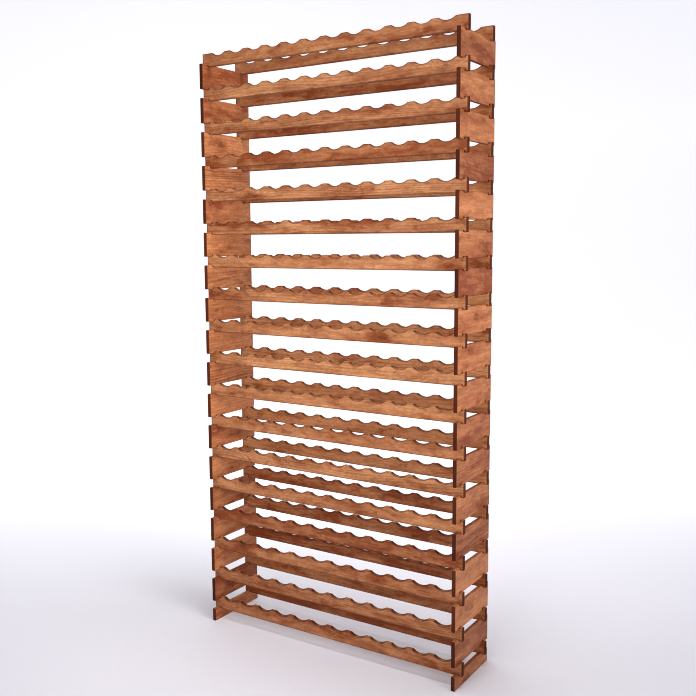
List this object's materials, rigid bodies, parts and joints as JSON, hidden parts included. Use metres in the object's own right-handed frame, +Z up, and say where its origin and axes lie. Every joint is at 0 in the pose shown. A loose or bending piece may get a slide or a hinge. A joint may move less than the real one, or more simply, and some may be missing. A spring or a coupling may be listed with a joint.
{
  "type": "wine rack",
  "caption": "Tall open wine rack of scalloped pine rails and plain side boards, interlocked like a log cabin, with bottles lying front to back.",
  "frame": {"origin": "centre of the rack's footprint, on the floor plane under the base boards", "axes": "+Z up, -Y towards the front where bottles go in, +X to the right seen from the front"},
  "size_m": [1.055, 0.26, 2.1275],
  "materials": {
    "rail_pine": "orange-brown stained pine, satin",
    "board_pine": "reddish-brown stained pine, satin"
  },
  "bodies": {
    "stack": {"front_rail_01": "rail_pine", "back_rail_01": "rail_pine", "front_rail_02": "rail_pine", "back_rail_02": "rail_pine", "front_rail_03": "rail_pine", "back_rail_03": "rail_pine", "front_rail_04": "rail_pine", "back_rail_04": "rail_pine", "front_rail_05": "rail_pine", "back_rail_05": "rail_pine", "front_rail_06": "rail_pine", "back_rail_06": "rail_pine", "front_rail_07": "rail_pine", "back_rail_07": "rail_pine", "front_rail_08": "rail_pine", "back_rail_08": "rail_pine", "front_rail_09": "rail_pine", "back_rail_09": "rail_pine", "front_rail_10": "rail_pine", "back_rail_10": "rail_pine", "front_rail_11": "rail_pine", "back_rail_11": "rail_pine", "front_rail_12": "rail_pine", "back_rail_12": "rail_pine", "front_rail_13": "rail_pine", "back_rail_13": "rail_pine", "front_rail_14": "rail_pine", "back_rail_14": "rail_pine", "front_rail_15": "rail_pine", "back_rail_15": "rail_pine", "front_rail_16": "rail_pine", "back_rail_16": "rail_pine", "front_rail_17": "rail_pine", "back_rail_17": "rail_pine", "left_base_and_board_01": "board_pine", "right_base_and_board_01": "board_pine", "left_boards_02_03": "board_pine", "right_boards_02_03": "board_pine", "left_boards_04_05": "board_pine", "right_boards_04_05": "board_pine", "left_boards_06_07": "board_pine", "right_boards_06_07": "board_pine", "left_boards_08_09": "board_pine", "right_boards_08_09": "board_pine", "left_boards_10_11": "board_pine", "right_boards_10_11": "board_pine", "left_board_12": "board_pine", "right_board_12": "board_pine", "left_board_13": "board_pine", "right_board_13": "board_pine", "left_board_14": "board_pine", "right_board_14": "board_pine", "left_board_15": "board_pine", "right_board_15": "board_pine", "left_board_16": "board_pine", "right_board_16": "board_pine", "left_board_17": "board_pine", "right_board_17": "board_pine"},
    "front_top_rail": {"front_rail_18": "rail_pine"},
    "back_top_rail": {"back_rail_18": "rail_pine"}
  },
  "joints": [
    {"name": "front_top_rail_lift", "type": "slide", "parent": "stack", "child": "front_top_rail", "axis": [0, 0, 1], "range_m": [0, 0.1]},
    {"name": "back_top_rail_lift", "type": "slide", "parent": "stack", "child": "back_top_rail", "axis": [0, 0, 1], "range_m": [0, 0.1]}
  ]
}
